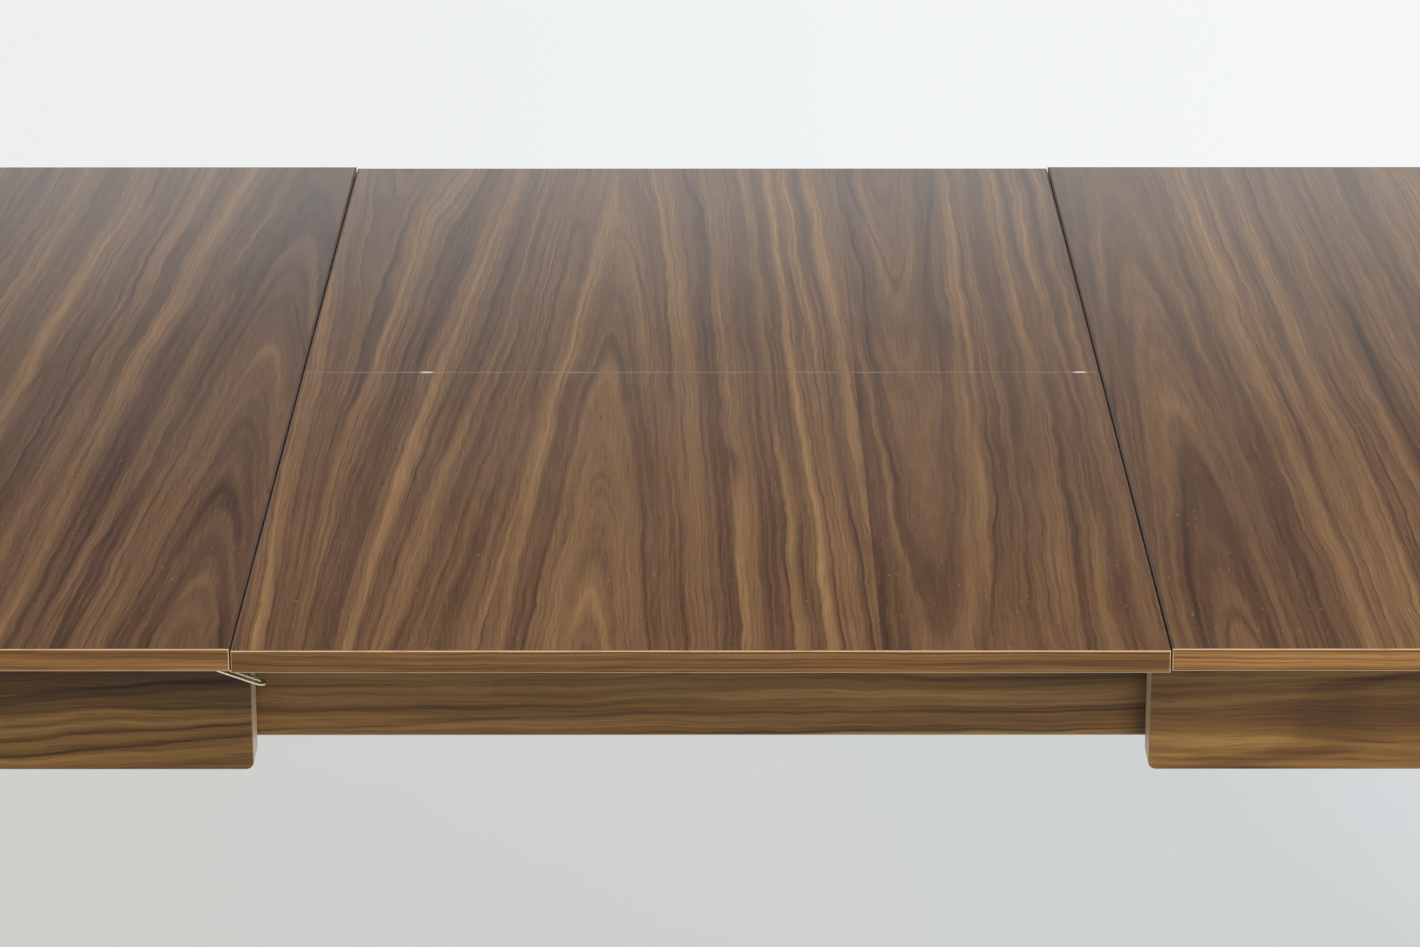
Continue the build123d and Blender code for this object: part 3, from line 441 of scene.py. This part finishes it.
# what every striped part starts from; each piece's own dictionary changes some of it
stripes = {
    "pitch": 0.010, "center": 0.7, "arch": 0.02, "climb": 0.03, "wander": 0.006,  # ring layout, metres
    "contrast": 0.30, "lines": 0.4, "fibre": 0.2, "pores": 0.4,  # strength of the marks
    "roughness": 0.4, "arris": 0.0, "shade": 0.0,  # shade darkens the upper edge of an apron: painted shade under the top's overhang, with some darker figure
    # arrisWearHighlightColor is the pale arris: rubbed wear with a painted highlight
    "poreColor": (0.035, 0.02, 0.013, 1), "arrisWearHighlightColor": (0.56, 0.41, 0.25, 1),
    # seamShadeColor paints the shade of the seam gap onto a band's top face
    "seamShadeColor": (0.010, 0.007, 0.005, 1), "seamWide": (0.0005, 0.0011), "seamShadeStrength": 0.75,
    "shadeFrom": (0.680, 0.712),
    "topColor": None, "endColor": None,
}


def makeStriped(name, axis, seed, colors, **changes):
    look = {**stripes, **changes}
    made, tree, shader, coordinates = newMaterial(name, look["roughness"], Specular_IOR_Level=0.35)
    place = turned(tree, coordinates["Object"], axis)
    field = use(tree, ringGroup, Place=place, Seed=seed, Wander=look["wander"], Axis=look["center"],
                Round=look["arch"], Climb=look["climb"])
    grain = use(tree, grainGroup, Ring=field["Ring"], Across=field["Across"], Along=field["Along"], Seed=seed,
                Pitch=look["pitch"])
    tone = total(tree, (grain["Tone"], look["contrast"]), (grain["Lines"], look["lines"]),
                 (grain["Fibre"], look["fibre"]))
    # painted shade: the tone falls towards the upper edge, under the top's overhang
    if look["shade"]:
        tone = calc(tree, "ADD", tone, spread(tree, field["Across"], *look["shadeFrom"], 0.0, -look["shade"]))
    color = ramp(tree, calc(tree, "ADD", tone, 0.5), colors, "LINEAR")
    color = mixColor(tree, calc(tree, "MULTIPLY", grain["Pores"], look["pores"]), color, look["poreColor"])
    normal = separate(tree, coordinates["Normal"])
    if look["topColor"]:  # the band's upper face, with painted shade where it meets a seam gap
        dark, pale = (*look["topColor"], 1), (*[part * 1.6 for part in look["topColor"]], 1)
        upper = mixColor(tree, spread(tree, grain["Tone"], -0.5, 0.5), dark, pale)
        x = calc(tree, "ABSOLUTE", separate(tree, coordinates["Object"])[0])
        seam = spread(tree, distance(tree, x, seamX), *look["seamWide"], look["seamShadeStrength"], 0.0)
        upper = mixColor(tree, seam, upper, look["seamShadeColor"])
        color = mixColor(tree, spread(tree, normal[2], 0.9, 0.97), color, upper)
    if look["endColor"]:  # pale end faces
        pale, dark = (*look["endColor"], 1), (*[part * 0.8 for part in look["endColor"]], 1)
        end = mixColor(tree, spread(tree, grain["Fibre"], -0.4, 0.4), pale, dark)
        endways = calc(tree, "ABSOLUTE", normal[0])
        color = mixColor(tree, spread(tree, endways, 0.9, 0.99), color, end)
    # pale arris: rubbed wear with a painted highlight of the light the arris catches
    if look["arris"]:
        mask = use(tree, arrisGroup, Place=coordinates["Object"], Normal=coordinates["Normal"])["Mask"]
        color = mixColor(tree, calc(tree, "MULTIPLY", mask, look["arris"]), color, look["arrisWearHighlightColor"])
    tree.links.new(color, shader.inputs["Base Color"])
    height = calc(tree, "SUBTRACT", calc(tree, "MULTIPLY", grain["Fibre"], 0.5), grain["Pores"])
    bumpFrom(tree, shader, height, 0.10, 0.0001)
    return made


bandColors = [(0.0, (0.060, 0.022, 0.006)), (0.35, (0.125, 0.055, 0.014)), (0.6, (0.215, 0.103, 0.029)),
              (1.0, (0.36, 0.19, 0.066))]
apronColors = [(0.0, (0.038, 0.014, 0.004)), (0.30, (0.115, 0.052, 0.012)), (0.55, (0.210, 0.107, 0.027)),
               (0.78, (0.30, 0.164, 0.048)), (1.0, (0.41, 0.25, 0.092))]
legColors = [(0.0, (0.060, 0.030, 0.015)), (0.5, (0.165, 0.092, 0.042)), (1.0, (0.31, 0.19, 0.095))]
frameColors = [(0.0, (0.36, 0.21, 0.10)), (0.5, (0.52, 0.35, 0.19)), (1.0, (0.68, 0.50, 0.31))]

# edge bands: how much paler or darker each one is
bandShades = {"left_edge_bands": 0.90, "right_edge_bands": 1.15, "leaf_front_bands": 0.80,
              "leaf_back_bands": 0.95}
bandLook = {"pitch": 0.0036, "climb": 0.004, "roughness": 0.35, "wander": 0.003, "contrast": 0.46,
            "lines": 0.45, "arris": 0.9, "topColor": (0.075, 0.036, 0.020)}
for seed, (name, factor) in enumerate(bandShades.items()):
    assign(makeStriped(name + "Wood", "x", 21.0 + seed * 3, scaled(bandColors, factor), **bandLook), name)

# aprons and rails: height and roundness of the arches, how steep they are, brightness, painted shade along the
# upper edge
aprons = {
    "left_front_apron": (0.725, 0.030, 0.050, 0.92, 0.26), "front_rail": (0.752, 0.020, 0.006, 1.08, 0.16),
    "right_front_apron": (0.690, 0.030, -0.010, 1.30, 0.13), "left_back_apron": (0.70, 0.025, 0.02, 1.0, 0.16),
    "right_back_apron": (0.68, 0.03, 0.03, 1.0, 0.16), "back_rail": (0.66, 0.02, 0.01, 1.0, 0.16),
}
apronLook = {"pitch": 0.011, "roughness": 0.42, "wander": 0.008, "contrast": 0.34, "lines": 0.60,
             "arris": 0.45, "endColor": (0.82, 0.63, 0.42)}
for seed, (name, (center, arch, climb, factor, shade)) in enumerate(aprons.items()):
    assign(makeStriped(name + "Wood", "x", 41.0 + seed * 5, scaled(apronColors, factor), center=center,
                       arch=arch, climb=climb, shade=shade, **apronLook), name)

endLook = {"pitch": 0.009, "center": 0.70, "arch": 0.03, "climb": 0.02, "roughness": 0.42, "arris": 0.45}
for seed, name in enumerate(("left_end_apron", "right_end_apron")):
    assign(makeStriped(name + "Wood", "y", 71.0 + seed * 5, apronColors, **endLook), name)

legLook = {"pitch": 0.009, "center": 0.69, "arch": 0.01, "climb": 0.01, "roughness": 0.40, "arris": 0.3}
for seed, name in enumerate(("left_front_leg", "left_back_leg", "right_front_leg", "right_back_leg")):
    assign(makeStriped(name + "Wood", "z", 81.0 + seed * 5, legColors, **legLook), name)

battenLook = {"pitch": 0.006, "roughness": 0.6}
assign(makeStriped("bearerWood", "x", 101.0, frameColors, **battenLook), "left_bearers", "right_bearers")
assign(makeStriped("crossbarWood", "y", 105.0, frameColors, **battenLook), "pivot_crossbars", "end_crossbars",
       "crossbar_dowels")
print("wood done")


# metals, plastic and felt

def makeMetal(name, color, roughness, metallic=1.0, mottle=0.06, grit=900.0):
    made, tree, shader, coordinates = newMaterial(name, roughness, Metallic=metallic)
    cloud = noise(tree, coordinates["Object"], 45.0, 4.0)
    darker = tuple(part * 0.72 for part in color)
    tint = mixColor(tree, spread(tree, cloud, 0.3, 0.7), (*darker, 1), (*color, 1))
    tree.links.new(tint, shader.inputs["Base Color"])
    rough = spread(tree, cloud, 0.3, 0.7, roughness + mottle, roughness - mottle)
    tree.links.new(rough, shader.inputs["Roughness"])
    bumpFrom(tree, shader, noise(tree, coordinates["Object"], grit, 2.0), 0.06, 0.0002)
    return made


zincSteel = makeMetal("zincSteel", (0.60, 0.61, 0.62), 0.38)
brightWire = makeMetal("brightWire", (0.88, 0.79, 0.58), 0.24, mottle=0.04)
brassMetal = makeMetal("satinBrass", (0.72, 0.56, 0.28), 0.34)
blackSteel = makeMetal("blackSteel", (0.045, 0.045, 0.048), 0.5, metallic=0.0, grit=1500.0)
darkPlastic = makeMetal("darkPlastic", (0.060, 0.050, 0.044), 0.48, metallic=0.0, grit=2500.0)
denseFelt = makeMetal("denseFelt", (0.130, 0.105, 0.090), 0.95, metallic=0.0, grit=3500.0)
assign(zincSteel, "front_slide_channel", "back_slide_channel", "channel_screws", "arm_pivot_pins",
       "leaf_arm_brackets", "leaf_front_studs", "leaf_back_studs", "leaf_hinge_links",
       *[side + part for side in ("left", "right") for part in
         ("_corner_brackets", "_runners", "_ball_cages", "_clip_plates", "_leg_bolts", "_screws")])
assign(brassMetal, "leaf_front_barrels", "leaf_back_barrels")
assign(blackSteel, "first_swing_arms", "second_swing_arms")
assign(darkPlastic, "left_glides", "right_glides", "left_stop_blocks", "right_stop_blocks")
assign(denseFelt, "leaf_rest_pads", "stow_pads")
print("metals done")


# wire clips: smooth round wire in place of the plain ones; metres

clip = {"wire": 0.00098, "bend": 0.0014, "gap": 0.0046, "stub": 0.0050, "lift": 0.0003, "liftFrom": 0.86,
        "tip": 0.96, "step": 0.002, "sides": 14}


def tube(name, path, radius, sides):
    # a circle carried along the path, its frame turned with the path so that it never twists; round ends
    path = np.asarray(path, float)
    tangent = np.gradient(path, axis=0)
    tangent /= np.linalg.norm(tangent, axis=1)[:, None]
    first = np.cross(tangent[0], (0.31, 0.17, 0.93))
    turns = np.linspace(0, 2 * np.pi, sides, endpoint=False)
    rings = []
    for spot, along in zip(path, tangent):
        first = first - along * first.dot(along)
        first /= np.linalg.norm(first)
        second = np.cross(along, first)
        rings.append(spot + radius * (np.outer(np.cos(turns), first) + np.outer(np.sin(turns), second)))
    ends = []
    for rim, spot, away in ((rings[0], path[0], -tangent[0]), (rings[-1], path[-1], tangent[-1])):
        caps = [spot + (rim - spot) * math.cos(a) + away * radius * math.sin(a) for a in (0.5, 1.0)]
        ends.append((caps, spot + away * radius))
    rows = np.array(ends[0][0][::-1] + rings + ends[1][0])
    count = len(rows)
    points = np.vstack([rows.reshape(-1, 3), ends[0][1], ends[1][1]])
    index = np.arange((count - 1) * sides).reshape(count - 1, sides)
    following = np.roll(index, -1, 1)
    faces = np.stack([index, following, following + sides, index + sides], -1).reshape(-1, 4).tolist()
    start, stop = count * sides, (count - 1) * sides
    faces += [[start, (i + 1) % sides, i] for i in range(sides)]
    faces += [[start + 1, stop + i, stop + (i + 1) % sides] for i in range(sides)]
    mesh = bpy.data.meshes.new(name)
    mesh.from_pydata(points.tolist(), [], faces)
    mesh.shade_smooth()
    made = bpy.data.objects.new(name, mesh)
    bpy.context.collection.objects.link(made)
    return made


def rounded(corners, radii, steps=9):
    # straight runs joined by arcs: each corner's arc is tangent to both runs
    corners = [np.asarray(c, float) for c in corners]
    path = [corners[0]]
    for before, corner, after, radius in zip(corners, corners[1:], corners[2:], radii):
        back, on = before - corner, after - corner
        back, on = back / np.linalg.norm(back), on / np.linalg.norm(on)
        half = math.acos(float(back.dot(on))) / 2
        middle = back + on
        center = corner + middle / np.linalg.norm(middle) * radius / math.sin(half)
        start, stop = corner + back * radius / math.tan(half), corner + on * radius / math.tan(half)
        for t in np.linspace(0, 1, steps):
            spot = start * (1 - t) + stop * t - center
            path.append(center + spot / np.linalg.norm(spot) * radius)
    return path + [corners[-1]]


def makeClip(side, end):
    # local: u along the legs from the pivot, v along the pivot, w up; then laid on the resting direction
    name = f"{side}_{end}_clip"
    joint = next(j for j in frame["record"]["behaviour"]["joints"] if j["name"] == name + "_turn")
    pivot = np.array(joint["pos_m"], float)
    low, high = [np.array(corner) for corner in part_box(name)]
    reach = high[0] - pivot[0] if high[0] - pivot[0] > pivot[0] - low[0] else low[0] - pivot[0]
    drop = pivot[2] - low[2] - clip["wire"]
    drop = 0.0 if drop < 0.002 else drop
    span = math.hypot(abs(reach) - clip["wire"], drop)
    half = clip["gap"] / 2
    stub, tip = half + clip["stub"], half * clip["tip"]
    corners = [(0, -stub, 0), (0, -half, 0), (span, -half, 0), (span, half, 0), (0, half, 0), (0, stub, 0)]
    flat = rounded(corners, [clip["bend"], tip, tip, clip["bend"]])
    path = [flat[0]]
    for spot in flat[1:]:
        pieces = max(1, int(np.linalg.norm(spot - path[-1]) / clip["step"]))
        path += [path[-1] + (spot - path[-1]) * i / pieces for i in range(1, pieces + 1)]
    placed = []
    turn = math.asin(drop / span)
    for u, v, _ in path:
        w = clip["lift"] * max(0.0, (u / span - clip["liftFrom"]) / (1 - clip["liftFrom"])) ** 2
        out = u * math.cos(turn) + w * math.sin(turn)
        up = w * math.cos(turn) - u * math.sin(turn)
        placed.append(pivot + np.array((math.copysign(out, reach), v, up)))
    made = tube("wire_" + name, placed, clip["wire"], clip["sides"])
    made.data.materials.append(brightWire)
    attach(made, name)
    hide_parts(name)


for side in ("left", "right"):
    for end in ("front", "back"):
        makeClip(side, end)
print("clips done")


# floor, backdrop, light and camera

room = {"floorColor": (0.85, 0.89, 0.92), "floorPaintedLight": ((0.98, 0.975, 0.94), (1.0, 1.02, 1.05)),
        "floorRadius": 3.4, "fadeFrom": 1.7, "floorTurns": 96, "floorRings": 24,
        "wallLeft": (0.845, 0.865, 0.860), "wallRight": (0.905, 0.922, 0.935),
        "glowTop": 0.269, "glow": 0.98, "overhead": 0.86, "before": 0.22, "dim": 0.04}
keyLight = {"place": (1.1, -2.9, 2.35), "target": (0.1, -0.3, 0.7), "size": (1.1, 1.1), "power": 82,
            "color": (1.0, 0.965, 0.92)}
view = {"place": (0.0024, -2.3373, 1.4825), "down": 18.386, "turn": -0.045, "lens": 123.46}


def makeFloor():
    # a disc of rings whose colour fades into the backdrop towards its rim
    turns, rings = room["floorTurns"], room["floorRings"]
    angle = np.linspace(0, 2 * np.pi, turns, endpoint=False)
    radius = np.linspace(0.02, room["floorRadius"], rings)
    grid = np.stack([np.outer(radius, np.cos(angle)), np.outer(radius, np.sin(angle)),
                     np.zeros((rings, turns))], -1).reshape(-1, 3)
    first = np.arange((rings - 1) * turns).reshape(rings - 1, turns)
    near, far = first, np.roll(first, -1, 1)
    faces = np.stack([near, near + turns, far + turns, far], -1).reshape(-1, 4)
    mesh = bpy.data.meshes.new("floor")
    mesh.from_pydata(grid.tolist(), [], [list(range(turns))] + faces.tolist())
    floor = bpy.data.objects.new("floor", mesh)
    bpy.context.collection.objects.link(floor)
    made, tree, shader, coordinates = newMaterial("paleFloor", 0.55)
    x = separate(tree, coordinates["Object"])[0]
    cloud = spread(tree, noise(tree, coordinates["Object"], 1.4, 2.0), 0.3, 0.7, 0.98, 1.02)
    # painted light: the floor is darker and warmer on the left, brighter and cooler on the right
    warm, cool = [(*[part * tilt for part, tilt in zip(room["floorColor"], tilts)], 1)
                  for tilts in room["floorPaintedLight"]]
    tint = mixColor(tree, spread(tree, x, -0.7, 0.7), warm, cool)
    tint = node(tree, "ShaderNodeVectorMath", {0: tint, 3: cloud}, operation="SCALE").outputs[0]
    tree.links.new(tint, shader.inputs["Base Color"])
    length = node(tree, "ShaderNodeVectorMath", {0: coordinates["Object"]}, operation="LENGTH")
    fade = spread(tree, length.outputs["Value"], room["fadeFrom"], room["floorRadius"] * 0.98)
    clear = node(tree, "ShaderNodeBsdfTransparent")
    mixed = node(tree, "ShaderNodeMixShader", {0: fade, 1: shader.outputs[0], 2: clear.outputs[0]})
    output = tree.nodes["Material Output"]
    tree.links.new(mixed.outputs[0], output.inputs[0])
    mesh.materials.append(made)


def makeSky():
    # light: a bright low band behind the table, dim above it and bright overhead; the camera sees a pale wall
    world = bpy.data.worlds.new("studio")
    bpy.context.scene.world = world
    world.use_nodes = True
    tree = world.node_tree
    tree.nodes.clear()
    direction = node(tree, "ShaderNodeTexCoord").outputs["Generated"]
    x, y, z = separate(tree, direction)
    behind = spread(tree, y, 0.1, 0.6)
    low = spread(tree, z, room["glowTop"] - 0.010, room["glowTop"] + 0.010, 1.0, 0.0)
    glow = calc(tree, "MULTIPLY", calc(tree, "MULTIPLY", behind, low), room["glow"])
    overhead = calc(tree, "MULTIPLY", spread(tree, z, 0.40, 0.75), room["overhead"])
    raised = calc(tree, "MULTIPLY", spread(tree, z, 0.1, 0.4), spread(tree, y, 0.0, 0.5, 1.0, 0.0))
    before = calc(tree, "MULTIPLY", raised, room["before"])
    strength = calc(tree, "ADD", calc(tree, "ADD", glow, overhead), calc(tree, "ADD", before, room["dim"]))
    tint = mixColor(tree, low, (1.0, 0.97, 0.93, 1), (0.93, 0.99, 1.0, 1))
    light = node(tree, "ShaderNodeBackground", {0: tint, 1: strength})
    across = spread(tree, x, -0.15, 0.15)
    wallColor = mixColor(tree, across, (*room["wallLeft"], 1), (*room["wallRight"], 1))
    wall = node(tree, "ShaderNodeBackground", {0: wallColor, 1: 1.0})
    seen = node(tree, "ShaderNodeLightPath").outputs["Is Camera Ray"]
    mixed = node(tree, "ShaderNodeMixShader", {0: seen, 1: light.outputs[0], 2: wall.outputs[0]})
    node(tree, "ShaderNodeOutputWorld", {0: mixed.outputs[0]})


def addKeyLight():
    data = bpy.data.lights.new("key", "AREA")
    data.shape, data.size, data.size_y = "RECTANGLE", *keyLight["size"]
    data.energy, data.color = keyLight["power"], keyLight["color"]
    lamp = bpy.data.objects.new("key", data)
    lamp.location = keyLight["place"]
    aim = Vector(keyLight["target"]) - Vector(keyLight["place"])
    lamp.rotation_euler = aim.to_track_quat("-Z", "Y").to_euler()
    lamp.visible_camera = False
    lamp.visible_glossy = False
    bpy.context.collection.objects.link(lamp)


def makeCamera():
    data = bpy.data.cameras.new("camera")
    data.lens, data.sensor_width = view["lens"], 36.0
    data.clip_start, data.clip_end = 0.05, 50.0
    camera = bpy.data.objects.new("camera", data)
    camera.location = view["place"]
    camera.rotation_euler = (math.radians(90 - view["down"]), 0, math.radians(view["turn"]))
    bpy.context.collection.objects.link(camera)
    bpy.context.scene.camera = camera


makeFloor()
makeSky()
addKeyLight()
makeCamera()
bpy.context.scene.view_settings.view_transform = "Standard"
print("studio done")
